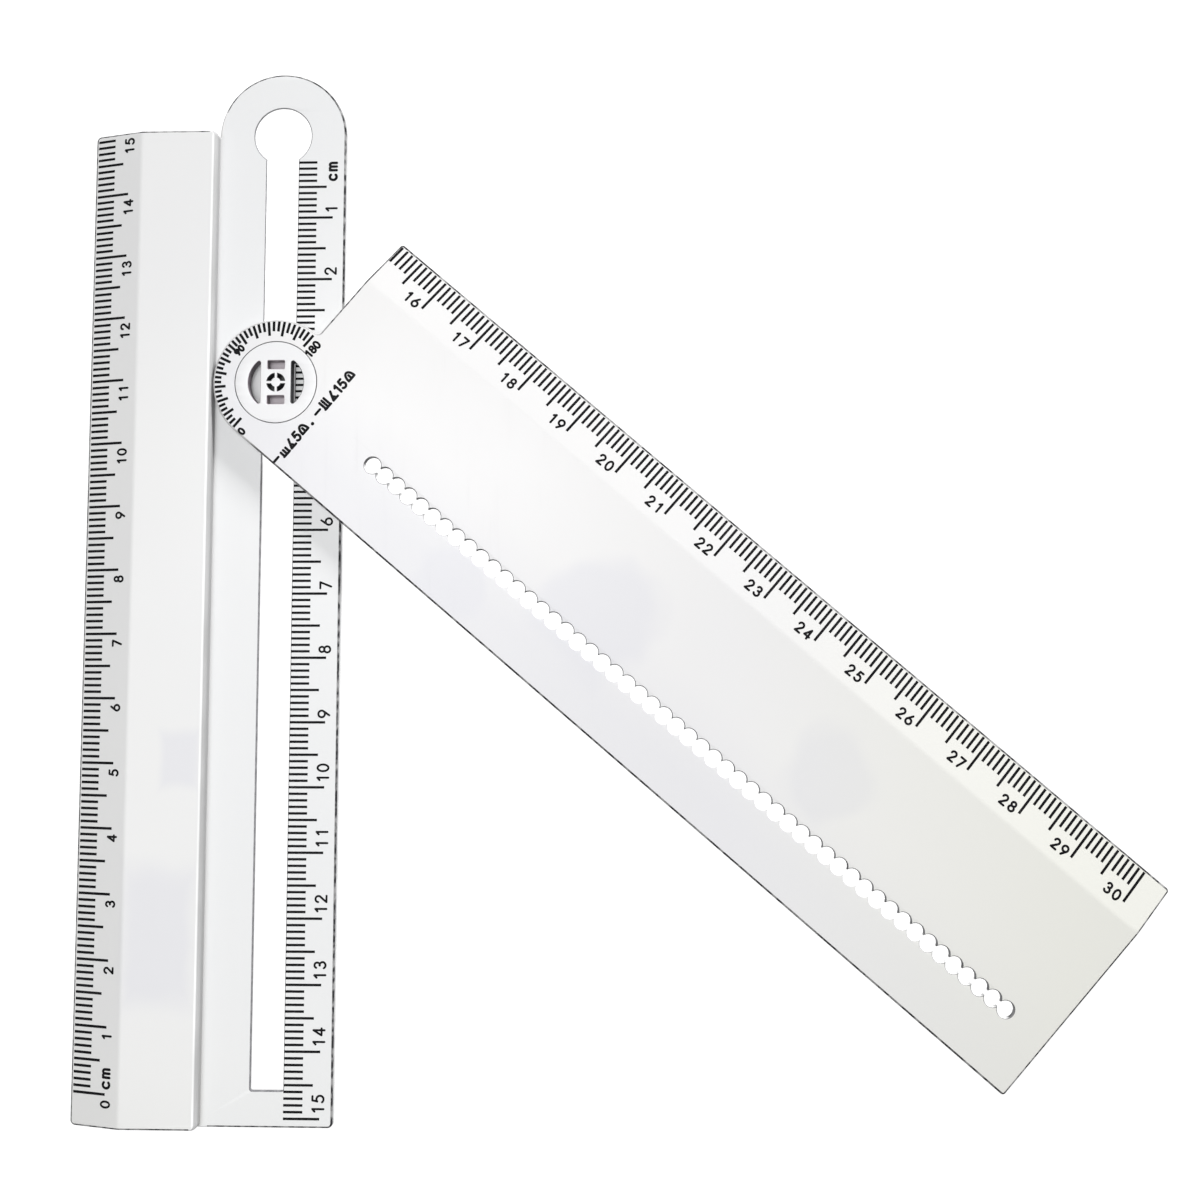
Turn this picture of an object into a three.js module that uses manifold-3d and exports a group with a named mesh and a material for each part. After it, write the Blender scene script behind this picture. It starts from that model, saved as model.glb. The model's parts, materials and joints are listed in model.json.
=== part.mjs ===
// Folding slide ruler: a slotted base ruler, a swing arm and the button that joins them.
// Millimetres. X runs across the base from the middle of its thick half, Y runs along
// its scale from the zero line towards the round end, and Z is up from the paper.
import * as THREE from 'three';
import { mergeVertices } from 'three/addons/utils/BufferGeometryUtils.js';
import Module from 'manifold-3d';

const wasm = await Module();
wasm.setup();

// ---- driving dimensions -------------------------------------------------------------

// heights above the paper
const THICKNESS = 3.0; // thick half of the base, and the top of the arm where it lies on the plate
const PLATE_TOP = 1.2; // thin half of the base
const STACK_GAP = 0.15; // between faces that slide on each other
const BASE_EDGE_TOP = 0.9; // ruling edge of the base
const ARM_EDGE_TOP = 1.65; // ruling edge of the arm
const BEVEL_WIDTH = 8.2;

// base, in plan
const THICK_WIDTH = 20.2;
const PLATE_WIDTH = 20.3;
const BASE_FOOT = -5.1; // Y of the square end, below the zero line
const THICK_HEAD = 150.0; // Y where the thick half stops
const ROUND_END_Y = 149.65; // centre of the round end and of the keyhole
const SLOT_WIDTH = 5.1;
const SLOT_FOOT = 0.4;
const KEYHOLE_RADIUS = 4.55;
const CORNER_RADIUS = 0.8;

// channel under the plate, in which the button's flange runs
const CHANNEL_WIDTH = 9.4;
const CHANNEL_DEPTH = 0.6;
const CHANNEL_FOOT = -0.6;

// arm, in its own frame: u along the arm from the pivot, w across it towards its scale
const ARM_LENGTH = 154.3;
const ARM_HEAD = 0.2; // u of the square shoulder beside the tongue
const ARM_SCALE_EDGE = 29.6;
const TONGUE_RADIUS = 9.95;
const HOLE_RADIUS = 1.3;
const HOLE_PITCH = 2.475;
const HOLE_COUNT = 52;
const FIRST_HOLE = 20.3;

// button
const DISC_RADIUS = 6.4;
const DISC_UNDER = 2.3;
const JOURNAL_RADIUS = 4.9;
const RUNNING_GAP = 0.2; // round the disc, the journal and the neck
const NECK_HALF_LENGTH = 3.7;
const FLANGE_RADIUS = 4.3;
const FLANGE_UNDER = 0.1;
const CRESCENT_RADIUS = 4.38;
const CRESCENT_CHORD = 2.42; // from the button's centre to a crescent's straight side
const WINDOW_HALF_WIDTH = 1.35;
const WINDOW_NEAR = 2.1;
const WINDOW_FAR = 3.45;
const POCKET_FLOOR = 1.3;
const RING_OUTER = 1.42;
const RING_INNER = 0.8;
const SPOKE_WIDTH = 0.5;

// where the button stands, and how far the arm is open from its folded place
const PIVOT_Y = 109.35;
const ARM_OPEN_DEG = 49.4;

// ---- what follows from them ---------------------------------------------------------

const RULING_EDGE_X = -THICK_WIDTH / 2;
const STEP_X = THICK_WIDTH / 2;
const PLATE_EDGE_X = STEP_X + PLATE_WIDTH;
const SLOT_X = STEP_X + PLATE_WIDTH / 2;
const ROUND_END_RADIUS = PLATE_WIDTH / 2;
const ARM_UNDER = PLATE_TOP + STACK_GAP;
const NECK_HALF_WIDTH = SLOT_WIDTH / 2 - RUNNING_GAP;
const FLANGE_TOP = CHANNEL_DEPTH - STACK_GAP;

const OVERCUT = 1; // how far a cutter runs past the face that it opens
const ABOVE = THICKNESS + OVERCUT;
const BELOW = -OVERCUT;
const BURY = 0.1; // how far a joined slab reaches into its neighbour

// ---- plan outlines, anticlockwise ---------------------------------------------------

const { degToRad, radToDeg } = THREE.MathUtils;
const point = (x, y) => new THREE.Vector2(x, y);
const rectangle = (x0, y0, x1, y1) => [point(x0, y0), point(x1, y0), point(x1, y1), point(x0, y1)];

function arc(x, y, radius, fromDeg, toDeg, steps) {
  return Array.from({ length: steps + 1 }, (_, i) => {
    const angle = degToRad(fromDeg + ((toDeg - fromDeg) * i) / steps);
    return point(x + radius * Math.cos(angle), y + radius * Math.sin(angle));
  });
}

const circle = (x, y, radius, steps) => arc(x, y, radius, 0, 360, steps).slice(1);

// A rounded outer corner at (x, y). normalDeg is the direction that the edge before it faces.
function corner(x, y, normalDeg) {
  const middle = degToRad(normalDeg + 45);
  const inset = CORNER_RADIUS * Math.SQRT2;
  return arc(x - inset * Math.cos(middle), y - inset * Math.sin(middle),
    CORNER_RADIUS, normalDeg, normalDeg + 90, 4);
}

function thickHalfPlan() {
  return [
    ...corner(RULING_EDGE_X, BASE_FOOT, 180),
    ...corner(STEP_X, BASE_FOOT, 270),
    ...corner(STEP_X, THICK_HEAD, 0),
    ...corner(RULING_EDGE_X, THICK_HEAD, 90),
  ];
}

function platePlan() {
  const buried = STEP_X - 2 * CORNER_RADIUS; // inside the thick half, clear of its round corners
  return [
    point(buried, BASE_FOOT),
    ...corner(PLATE_EDGE_X, BASE_FOOT, 270),
    ...arc(SLOT_X, ROUND_END_Y, ROUND_END_RADIUS, 0, 180, 48),
    point(buried, ROUND_END_Y),
  ];
}

function armPlan() {
  const shoulder = radToDeg(Math.acos(ARM_HEAD / TONGUE_RADIUS));
  return [
    ...arc(0, 0, TONGUE_RADIUS, shoulder, 270, 48),
    ...corner(ARM_LENGTH, -TONGUE_RADIUS, 270),
    ...corner(ARM_LENGTH, ARM_SCALE_EDGE, 0),
    ...corner(ARM_HEAD, ARM_SCALE_EDGE, 90),
  ];
}

// One opening made of overlapping round holes in a row. Each arc leaves out its first point,
// which is the last one of the arc before.
function scallopedSlot() {
  const meet = radToDeg(Math.acos(HOLE_PITCH / 2 / HOLE_RADIUS)); // where two holes cross
  const last = HOLE_COUNT - 1;
  const outline = [];
  const follow = (hole, from, to, steps) => outline.push(
    ...arc(FIRST_HOLE + hole * HOLE_PITCH, 0, HOLE_RADIUS, from, to, steps).slice(1));
  follow(0, meet, 360 - meet, 16);
  for (let hole = 1; hole < last; hole += 1) follow(hole, 180 + meet, 360 - meet, 6);
  follow(last, 180 + meet, 540 - meet, 16);
  for (let hole = last - 1; hole > 0; hole -= 1) follow(hole, meet, 180 - meet, 6);
  return outline;
}

// One of the two moulding openings beside the neck; side is 1 or -1.
function crescent(side) {
  const half = radToDeg(Math.acos(CRESCENT_CHORD / CRESCENT_RADIUS));
  const middle = side > 0 ? 0 : 180;
  return arc(0, 0, CRESCENT_RADIUS, middle - half, middle + half, 20);
}

// One quarter of the ring of slits round the button's centre.
function ringSlit(quarter) {
  const from = quarter * 90;
  const trim = (radius) => radToDeg(Math.asin(SPOKE_WIDTH / 2 / radius));
  return [
    ...arc(0, 0, RING_OUTER, from + trim(RING_OUTER), from + 90 - trim(RING_OUTER), 8),
    ...arc(0, 0, RING_INNER, from + 90 - trim(RING_INNER), from + trim(RING_INNER), 6),
  ];
}

// ---- solids -------------------------------------------------------------------------

function toSolid(geometry) {
  geometry.deleteAttribute('normal');
  geometry.deleteAttribute('uv');
  const merged = mergeVertices(geometry, 1e-5);
  return new wasm.Manifold(new wasm.Mesh({
    numProp: 3,
    vertProperties: new Float32Array(merged.attributes.position.array),
    triVerts: new Uint32Array(merged.index.array),
  }));
}

function toGeometry(solid) {
  const mesh = solid.getMesh();
  const geometry = new THREE.BufferGeometry();
  geometry.setAttribute('position', new THREE.BufferAttribute(mesh.vertProperties, 3));
  geometry.setIndex(new THREE.BufferAttribute(mesh.triVerts, 1));
  geometry.computeVertexNormals();
  return geometry;
}

function extrude(outline, depth) {
  return new THREE.ExtrudeGeometry(new THREE.Shape(outline), { depth, bevelEnabled: false });
}

// A plan outline raised from one height to another.
const slab = (outline, low, high) => toSolid(extrude(outline, high - low).translate(0, 0, low));

// The wedge over a bevel that falls from full height at `inner` to edgeTop at `edge`, two
// places across the piece. It runs along -Y from the origin.
function bevelWedge(inner, edge, edgeTop, length) {
  const outside = edge + Math.sign(edge - inner) * OVERCUT;
  const drop = ((THICKNESS - edgeTop) * (outside - inner)) / (edge - inner);
  const section = [
    point(inner, THICKNESS),
    point(outside, THICKNESS - drop),
    point(outside, ABOVE),
    point(inner, ABOVE),
  ];
  return extrude(section, length).rotateX(Math.PI / 2);
}

function baseRuler() {
  const slotHalf = SLOT_WIDTH / 2;
  const channelHalf = CHANNEL_WIDTH / 2;
  const wedge = bevelWedge(RULING_EDGE_X + BEVEL_WIDTH, RULING_EDGE_X, BASE_EDGE_TOP,
    THICK_HEAD - BASE_FOOT + 2 * OVERCUT).translate(0, THICK_HEAD + OVERCUT, 0);
  const slot = rectangle(SLOT_X - slotHalf, SLOT_FOOT, SLOT_X + slotHalf, ROUND_END_Y);
  const keyhole = circle(SLOT_X, ROUND_END_Y, KEYHOLE_RADIUS, 48);
  const channel = rectangle(SLOT_X - channelHalf, CHANNEL_FOOT, SLOT_X + channelHalf, ROUND_END_Y);
  return slab(thickHalfPlan(), 0, THICKNESS)
    .subtract(toSolid(wedge))
    .add(slab(platePlan(), 0, PLATE_TOP))
    .subtract(slab(slot, BELOW, ABOVE))
    .subtract(slab(keyhole, BELOW, ABOVE))
    .subtract(slab(channel, BELOW, CHANNEL_DEPTH));
}

function swingArm() {
  const wedge = bevelWedge(ARM_SCALE_EDGE - BEVEL_WIDTH, ARM_SCALE_EDGE, ARM_EDGE_TOP,
    ARM_LENGTH - ARM_HEAD + 2 * OVERCUT).rotateZ(Math.PI / 2).translate(ARM_HEAD - OVERCUT, 0, 0);
  const seat = circle(0, 0, DISC_RADIUS + RUNNING_GAP, 64);
  const bore = circle(0, 0, JOURNAL_RADIUS + RUNNING_GAP, 64);
  return slab(armPlan(), ARM_UNDER, THICKNESS)
    .subtract(toSolid(wedge))
    .subtract(slab(scallopedSlot(), BELOW, ABOVE))
    .subtract(slab(seat, DISC_UNDER - STACK_GAP, ABOVE))
    .subtract(slab(bore, BELOW, ABOVE));
}

function pivotButton() {
  const neck = rectangle(-NECK_HALF_WIDTH, -NECK_HALF_LENGTH, NECK_HALF_WIDTH, NECK_HALF_LENGTH);
  const windowAbove = rectangle(-WINDOW_HALF_WIDTH, WINDOW_NEAR, WINDOW_HALF_WIDTH, WINDOW_FAR);
  const windowBelow = rectangle(-WINDOW_HALF_WIDTH, -WINDOW_FAR, WINDOW_HALF_WIDTH, -WINDOW_NEAR);
  const pockets = [windowAbove, windowBelow, ...[0, 1, 2, 3].map(ringSlit)];
  let solid = slab(circle(0, 0, DISC_RADIUS, 64), DISC_UNDER, THICKNESS)
    .add(slab(circle(0, 0, JOURNAL_RADIUS, 64), ARM_UNDER, DISC_UNDER + BURY));
  for (const side of [1, -1]) solid = solid.subtract(slab(crescent(side), BELOW, ABOVE));
  solid = solid
    .add(slab(neck, FLANGE_UNDER, ARM_UNDER + BURY))
    .add(slab(circle(0, 0, FLANGE_RADIUS, 48), FLANGE_UNDER, FLANGE_TOP));
  for (const pocket of pockets) solid = solid.subtract(slab(pocket, POCKET_FLOOR, ABOVE));
  return solid;
}

// ---- assembly -----------------------------------------------------------------------

function part(name, solid, color, roughness) {
  const material = new THREE.MeshStandardMaterial({ color, roughness, metalness: 0 });
  const mesh = new THREE.Mesh(toGeometry(solid), material);
  mesh.name = name;
  return mesh;
}

const pivot = new THREE.Group();
pivot.position.set(SLOT_X, PIVOT_Y, 0);
pivot.add(part('pivot_button', pivotButton(), 0xf3f4f6, 0.3));

// Folded, the arm points at the square end of the base, along -Y.
const arm = part('swing_arm', swingArm(), 0xf4f3f1, 0.28);
arm.rotation.z = degToRad(ARM_OPEN_DEG - 90);
pivot.add(arm);

const ruler = new THREE.Group();
ruler.add(part('base_ruler', baseRuler(), 0xf1f2f4, 0.28), pivot);

export default ruler;
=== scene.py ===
"""Looks of the folding slide ruler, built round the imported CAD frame.

Tables and outlines are in millimetres in the row frame, and become metres when a mesh is
made. The arm and the button are drawn about the pivot: u runs along the arm, w across it.
"""

import json
import math

import bmesh
import bpy
from mathutils import Euler, Matrix, Vector
from mathutils.geometry import delaunay_2d_cdt, tessellate_polygon


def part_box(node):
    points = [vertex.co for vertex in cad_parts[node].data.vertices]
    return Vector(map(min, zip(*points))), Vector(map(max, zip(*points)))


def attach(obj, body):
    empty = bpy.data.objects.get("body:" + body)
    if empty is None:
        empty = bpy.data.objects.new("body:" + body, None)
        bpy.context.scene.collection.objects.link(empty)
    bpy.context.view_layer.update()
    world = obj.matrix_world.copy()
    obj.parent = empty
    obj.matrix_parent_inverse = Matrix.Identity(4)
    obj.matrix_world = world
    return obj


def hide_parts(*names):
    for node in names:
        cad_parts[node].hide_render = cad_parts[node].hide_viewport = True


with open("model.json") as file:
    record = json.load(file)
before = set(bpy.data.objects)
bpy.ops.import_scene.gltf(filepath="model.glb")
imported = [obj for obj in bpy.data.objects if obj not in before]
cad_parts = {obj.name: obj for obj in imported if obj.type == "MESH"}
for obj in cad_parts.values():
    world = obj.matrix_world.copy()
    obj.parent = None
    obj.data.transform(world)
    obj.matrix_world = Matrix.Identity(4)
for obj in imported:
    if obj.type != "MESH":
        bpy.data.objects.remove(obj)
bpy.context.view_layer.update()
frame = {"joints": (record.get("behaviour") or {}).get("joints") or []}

MM = 0.001

# ---- places that the CAD frame gives ---------------------------------------------------


def node_box(name):
    low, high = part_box(name)
    return low / MM, high / MM


base_low, base_high = node_box("base_ruler")
arm_joint = next(j for j in frame["joints"] if j["name"] == "arm_swing")
PIVOT = Vector(arm_joint["pos_m"]) / MM

THICKNESS = base_high.z
RULING_EDGE_X = base_low.x
STEP_X = -base_low.x
PLATE_EDGE_X = base_high.x
BASE_FOOT = base_low.y
SLOT_X = PIVOT.x
ROUND_END_RADIUS = (PLATE_EDGE_X - STEP_X) / 2
ROUND_END_Y = base_high.y - ROUND_END_RADIUS

# ---- the rest of the shape, as in the CAD source ---------------------------------------

PLATE_TOP = 1.2
ARM_UNDER = 1.35
THICK_HEAD = 150.0
BEVEL_WIDTH = 8.2
BASE_EDGE_TOP = 0.9
ARM_EDGE_TOP = 1.65
CORNER_RADIUS = 0.8

SLOT_HALF = 2.55
SLOT_FOOT = 0.4
KEYHOLE_RADIUS = 4.55
CHANNEL_HALF = 4.7
CHANNEL_DEPTH = 0.6
CHANNEL_FOOT = -0.6
CHANNEL_CHAMFER = 0.1

ARM_DEG = -40.6  # direction of u
ARM_LENGTH = 154.3
ARM_HEAD = 0.2
ARM_SCALE_EDGE = 29.6
TONGUE_RADIUS = 9.95
HOLE_RADIUS = 1.3
HOLE_PITCH = 2.475
HOLE_COUNT = 52
FIRST_HOLE = 20.3
TONGUE_FILLET = 0.6
SEAT_RADIUS = 6.5
SEAT_FLOOR = 2.15
BORE_RADIUS = 5.1

DISC_RADIUS = 6.4
DISC_UNDER = 2.3
JOURNAL_RADIUS = 4.9
NECK_HALF_WIDTH = 2.35
NECK_HALF_LENGTH = 3.7
NECK_TOP = 1.45
NECK_FOOT = 0.15
NECK_CORNER = 0.4
FLANGE_RADIUS = 4.3
FLANGE_UNDER = 0.1
FLANGE_TOP = 0.45
CRESCENT_RADIUS = 4.38
CRESCENT_CHORD = 2.42
CRESCENT_TIP = 0.28
WINDOW_HALF = 1.35
WINDOW_NEAR = 2.1
WINDOW_FAR = 3.45
WINDOW_CORNER = 0.15
POCKET_FLOOR = 1.5
RING_OUTER = 1.42
RING_INNER = 0.8
SPOKE_WIDTH = 0.5

EJECTOR_RADIUS = 1.9
EJECTOR_DEPTH = 0.07
EJECTOR_Y = (12, 52, 92, 132)  # marks under the base
EJECTOR_U = (20, 60, 100, 140)  # marks under the arm
EJECTOR_W = 10

# edge radii
EDGE = 0.3
STEP_EDGE = 0.75
SLOT_EDGE = 0.14
SCALLOP_EDGE = 0.12
UNDER_EDGE = 0.1
SMALL_EDGE = 0.08
SEAM_EDGE = 0.05
FINE_EDGE = 0.02
EDGE_STEPS = 5
CREASE_HALF = 0.35  # half the width of the soft crease where a bevel starts
CREASE_CUTS = 3  # cuts in each half of it

# which of a piece's materials a face has
FACE = 0
WALL = 1  # the slot's and the scallops' walls
RIM = 2  # the rounded upper edge outside
WINDOW, DARK, HALF_DARK = 1, 2, 3  # the button's openings, darkened with painted shade

# ---- plan outlines: material on the left, so outer ones run anticlockwise, holes clockwise


def arc(cx, cy, radius, start, end, steps):
    turns = [math.radians(start + (end - start) * i / steps) for i in range(steps + 1)]
    return [(cx + radius * math.cos(a), cy + radius * math.sin(a)) for a in turns]


def corner(x, y, facing, radius=CORNER_RADIUS):
    """A rounded outer corner at (x, y). The edge before it faces `facing` degrees."""
    middle = math.radians(facing + 45)
    inset = radius * math.sqrt(2)
    centre_x, centre_y = x - inset * math.cos(middle), y - inset * math.sin(middle)
    return arc(centre_x, centre_y, radius, facing, facing + 90, 8)


def rounded_box(left, foot, right, head, radius):
    return [
        *corner(right, head, 0, radius),
        *corner(left, head, 90, radius),
        *corner(left, foot, 180, radius),
        *corner(right, foot, 270, radius),
    ]


def circle(cx, cy, radius, steps):
    return arc(cx, cy, radius, 0, 360, steps)[:-1]


def hole(outline):
    return outline[::-1]


def thick_half_plan():
    return [
        *corner(RULING_EDGE_X, BASE_FOOT, 180),
        *corner(STEP_X, BASE_FOOT, 270),
        *corner(STEP_X, THICK_HEAD, 0),
        *corner(RULING_EDGE_X, THICK_HEAD, 90),
    ]


def plate_plan():
    buried = STEP_X - 2 * CORNER_RADIUS
    return [
        (buried, BASE_FOOT),
        *corner(PLATE_EDGE_X, BASE_FOOT, 270),
        *arc(SLOT_X, ROUND_END_Y, ROUND_END_RADIUS, 0, 180, 96),
        (buried, ROUND_END_Y),
    ]


def slot_plan():
    """The slot and the keyhole at its head, as one opening."""
    foot_radius = 0.3
    mouth = math.degrees(math.asin(SLOT_HALF / KEYHOLE_RADIUS))
    left, right = SLOT_X - SLOT_HALF, SLOT_X + SLOT_HALF
    return hole([
        *corner(left, SLOT_FOOT, 180, foot_radius),
        *corner(right, SLOT_FOOT, 270, foot_radius),
        *arc(SLOT_X, ROUND_END_Y, KEYHOLE_RADIUS, mouth - 90, 270 - mouth, 80),
    ])


def arm_plan():
    """The arm with its round tongue, and a fillet between the two."""
    centre_u = ARM_HEAD - TONGUE_FILLET
    reach = TONGUE_RADIUS + TONGUE_FILLET
    centre_w = math.sqrt(reach**2 - centre_u**2)
    turn = math.degrees(math.atan2(-centre_w, -centre_u))
    radius = 0.5
    return [
        *arc(centre_u, centre_w, TONGUE_FILLET, 0, turn, 8),
        *arc(0, 0, TONGUE_RADIUS, turn + 180, 270, 96)[1:],
        *corner(ARM_LENGTH, -TONGUE_RADIUS, 270, radius),
        *corner(ARM_LENGTH, ARM_SCALE_EDGE, 0, radius),
        *corner(ARM_HEAD, ARM_SCALE_EDGE, 90, radius),
    ]


def scallop_plan():
    """Round holes in a row that run into each other."""
    meet = math.degrees(math.acos(HOLE_PITCH / 2 / HOLE_RADIUS))
    last = HOLE_COUNT - 1
    outline = []

    def follow(index, start, end, steps):
        centre = FIRST_HOLE + index * HOLE_PITCH
        outline.extend(arc(centre, 0, HOLE_RADIUS, start, end, steps)[1:])

    follow(0, meet, 360 - meet, 24)
    for index in range(1, last):
        follow(index, 180 + meet, 360 - meet, 8)
    follow(last, 180 + meet, 540 - meet, 24)
    for index in range(last - 1, 0, -1):
        follow(index, meet, 180 - meet, 8)
    return hole(outline)


def crescent_plan(side):
    """A moulding opening beside the neck, with soft points."""
    chord = CRESCENT_CHORD + CRESCENT_TIP
    reach = CRESCENT_RADIUS - CRESCENT_TIP
    half = math.degrees(math.acos(chord / reach))
    tip_y = math.sqrt(reach**2 - chord**2)
    outline = [
        *arc(chord, -tip_y, CRESCENT_TIP, 180, 360 - half, 8),
        *arc(0, 0, CRESCENT_RADIUS, -half, half, 28)[1:-1],
        *arc(chord, tip_y, CRESCENT_TIP, half, 180, 8),
    ]
    return hole([(side * x, side * y) for x, y in outline])


def window_plan(side):
    half_y = (WINDOW_FAR - WINDOW_NEAR) / 2
    y = side * (WINDOW_FAR + WINDOW_NEAR) / 2
    return hole(rounded_box(-WINDOW_HALF, y - half_y, WINDOW_HALF, y + half_y, WINDOW_CORNER))


def slit_plan(quarter):
    """A quarter of the ring of slits in the button's middle, between two spokes."""
    start = quarter * 90

    def trim(radius):
        return math.degrees(math.asin(SPOKE_WIDTH / 2 / radius))

    outer, inner = trim(RING_OUTER), trim(RING_INNER)
    return hole([
        *arc(0, 0, RING_OUTER, start + outer, start + 90 - outer, 10),
        *arc(0, 0, RING_INNER, start + 90 - inner, start + inner, 8),
    ])


# ---- solids with rounded edges ---------------------------------------------------------


def rounding(radius, top):
    """(inset, drop from the face) along a rounded edge, from the face to the wall."""
    quarter = [math.pi / 2 * i / EDGE_STEPS for i in range(EDGE_STEPS + 1)]
    steps = [(radius * (1 - math.sin(a)), radius * (1 - math.cos(a))) for a in quarter]
    return steps if top else steps[::-1]


def wall_profile(high, low, top_edge=EDGE, under_edge=UNDER_EDGE):
    """(inset, z) down a wall with rounded edges."""
    top = [(inset, high - drop) for inset, drop in rounding(top_edge, True)]
    under = [(inset, low + drop) for inset, drop in rounding(under_edge, False)]
    return top + under


def insets(outline):
    """How each point of an outline moves, per millimetre, as the outline goes into the material."""
    count = len(outline)
    result = []
    for i, (x, y) in enumerate(outline):
        before, after = outline[i - 1], outline[(i + 1) % count]
        normals = []
        for (ax, ay), (bx, by) in ((before, (x, y)), ((x, y), after)):
            length = math.hypot(bx - ax, by - ay)
            normals.append(((by - ay) / length, (ax - bx) / length))
        (ax, ay), (bx, by) = normals
        share = max(0.2, 1 + ax * bx + ay * by)
        result.append((-(ax + bx) / share, -(ay + by) / share))
    return result


def add_cap(bm, rings, finish=FACE):
    """Fills the area between an outer ring and the holes in it."""
    flat = [vert for ring in rings for vert in ring]
    triangles = tessellate_polygon([[v.co.xy.to_3d() for v in ring] for ring in rings])
    for a, b, c in triangles:
        if len({a, b, c}) == 3:
            bm.faces.new((flat[a], flat[b], flat[c])).material_index = finish


def add_wall(bm, outline, profile, finish=FACE, edge_finish=None):
    """A wall that follows an outline and a profile of (inset, z), or a function that gives each
    point of the outline its profile. The rounded upper edge may have a finish of its own."""
    moves = insets(outline)
    profiles = profile if callable(profile) else (lambda index: profile)
    rings = []
    for level in range(len(profiles(0))):
        ring = []
        for index, ((x, y), (mx, my)) in enumerate(zip(outline, moves)):
            inset, z = profiles(index)[level]
            ring.append(bm.verts.new((x + mx * inset, y + my * inset, z)))
        rings.append(ring)
    count = len(outline)
    for level, (upper, lower) in enumerate(zip(rings, rings[1:])):
        on_edge = edge_finish is not None and level < EDGE_STEPS
        for i in range(count):
            j = (i + 1) % count
            face = bm.faces.new((upper[i], lower[i], lower[j], upper[j]))
            face.material_index = edge_finish if on_edge else finish
    return rings


def moulding(outer, through=(), pockets=(), sunk=()):
    """A closed solid. Each of outer, through, pockets and sunk is (outline, profile), with the
    finishes for add_wall behind them: through holes open both faces, pockets open the top and
    sunk marks open the underside."""
    bm = bmesh.new()
    walls = [add_wall(bm, *item) for item in (outer, *through)]
    pocket_walls = [add_wall(bm, *item) for item in pockets]
    sunk_walls = [add_wall(bm, *item) for item in sunk]
    add_cap(bm, [rings[0] for rings in walls + pocket_walls])
    add_cap(bm, [rings[-1] for rings in walls + sunk_walls])
    for rings, (_, _, *finish) in zip(pocket_walls, pockets):
        add_cap(bm, [rings[-1]], *finish)
    for rings in sunk_walls:
        add_cap(bm, [rings[0]])
    bmesh.ops.recalc_face_normals(bm, faces=bm.faces)
    return bm


def lower_bevel(bm, across, crease, edge, edge_top, above):
    """Lowers the top towards `edge`, past a soft crease. across is 0 for x and 1 for y, and only
    what lies higher than `above` moves."""
    outward = math.copysign(1, edge - crease)
    slope = (THICKNESS - edge_top) / abs(edge - crease)
    normal = Vector((0, 0, 0))
    normal[across] = 1
    for cut in range(-CREASE_CUTS, CREASE_CUTS + 1):
        place = Vector((0, 0, 0))
        place[across] = crease + CREASE_HALF * cut / CREASE_CUTS
        everything = bm.verts[:] + bm.edges[:] + bm.faces[:]
        bmesh.ops.bisect_plane(bm, geom=everything, plane_co=place, plane_no=normal, dist=1e-5)
    for vert in bm.verts:
        past = outward * (vert.co[across] - crease)
        if vert.co.z > above and past > -CREASE_HALF:
            soft = (past + CREASE_HALF) ** 2 / (4 * CREASE_HALF)
            vert.co.z -= slope * (soft if past < CREASE_HALF else past)


def new_object(name, bm, materials, place=Matrix.Identity(4)):
    """An object from a mesh in millimetres, which `place` takes to the row frame."""
    bm.transform(Matrix.Scale(MM, 4) @ place)
    mesh = bpy.data.meshes.new(name)
    for material in materials:
        mesh.materials.append(material)
    bm.to_mesh(mesh)
    bm.free()
    piece = bpy.data.objects.new(name, mesh)
    bpy.context.scene.collection.objects.link(piece)
    return piece


def combine(piece, other, operation):
    """Joins other to piece, or cuts it away, and removes it."""
    modifier = piece.modifiers.new("combine", "BOOLEAN")
    modifier.operation = operation
    modifier.solver = "EXACT"
    modifier.object = other
    settle(piece)
    bpy.data.objects.remove(other)


def settle(piece):
    """Applies a piece's modifiers."""
    bpy.context.view_layer.update()
    evaluated = piece.evaluated_get(bpy.context.evaluated_depsgraph_get())
    mesh = bpy.data.meshes.new_from_object(evaluated)
    piece.modifiers.clear()
    piece.data = mesh


def smooth(piece, sharp_deg=38):
    """Smooth shading that keeps broad faces flat and real corners sharp."""
    piece.data.shade_smooth()
    piece.data.set_sharp_from_angle(angle=math.radians(sharp_deg))
    modifier = piece.modifiers.new("normals", "WEIGHTED_NORMAL")
    modifier.keep_sharp = True
    modifier.weight = 100
    settle(piece)


ARM_PLACE = Matrix.Translation(PIVOT) @ Matrix.Rotation(math.radians(ARM_DEG), 4, "Z")
BUTTON_PLACE = Matrix.Translation(PIVOT)


def ejector_mark(x, y, z):
    """A shallow round mark in an underside, left by an ejector pin."""
    profile = [(0, z + EJECTOR_DEPTH), (0, z + FINE_EDGE), (FINE_EDGE, z)]
    return hole(circle(x, y, EJECTOR_RADIUS, 36)), profile


def make_base(materials):
    """The thick half, joined to the slotted plate."""
    plan = thick_half_plan()

    def thick_profile(index):
        # the edge over the step is rounder
        x, _ = plan[index]
        share = min(1.0, max(0.0, (x - (STEP_X - CORNER_RADIUS)) / CORNER_RADIUS))
        return wall_profile(THICKNESS, 0, EDGE + (STEP_EDGE - EDGE) * share)

    marks = [ejector_mark(0, y, 0) for y in EJECTOR_Y]
    bm = moulding((plan, thick_profile, FACE, RIM), sunk=marks)
    lower_bevel(bm, 0, RULING_EDGE_X + BEVEL_WIDTH, RULING_EDGE_X, BASE_EDGE_TOP, THICKNESS / 2)
    base = new_object("base_moulding", bm, materials)
    slot = slot_plan(), wall_profile(PLATE_TOP, 0, SLOT_EDGE, SEAM_EDGE), WALL
    plate = moulding((plate_plan(), wall_profile(PLATE_TOP, 0), FACE, RIM), [slot])
    combine(base, new_object("plate", plate, materials), "UNION")
    combine(base, new_object("channel", channel_cutter(), materials), "DIFFERENCE")
    return base


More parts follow.
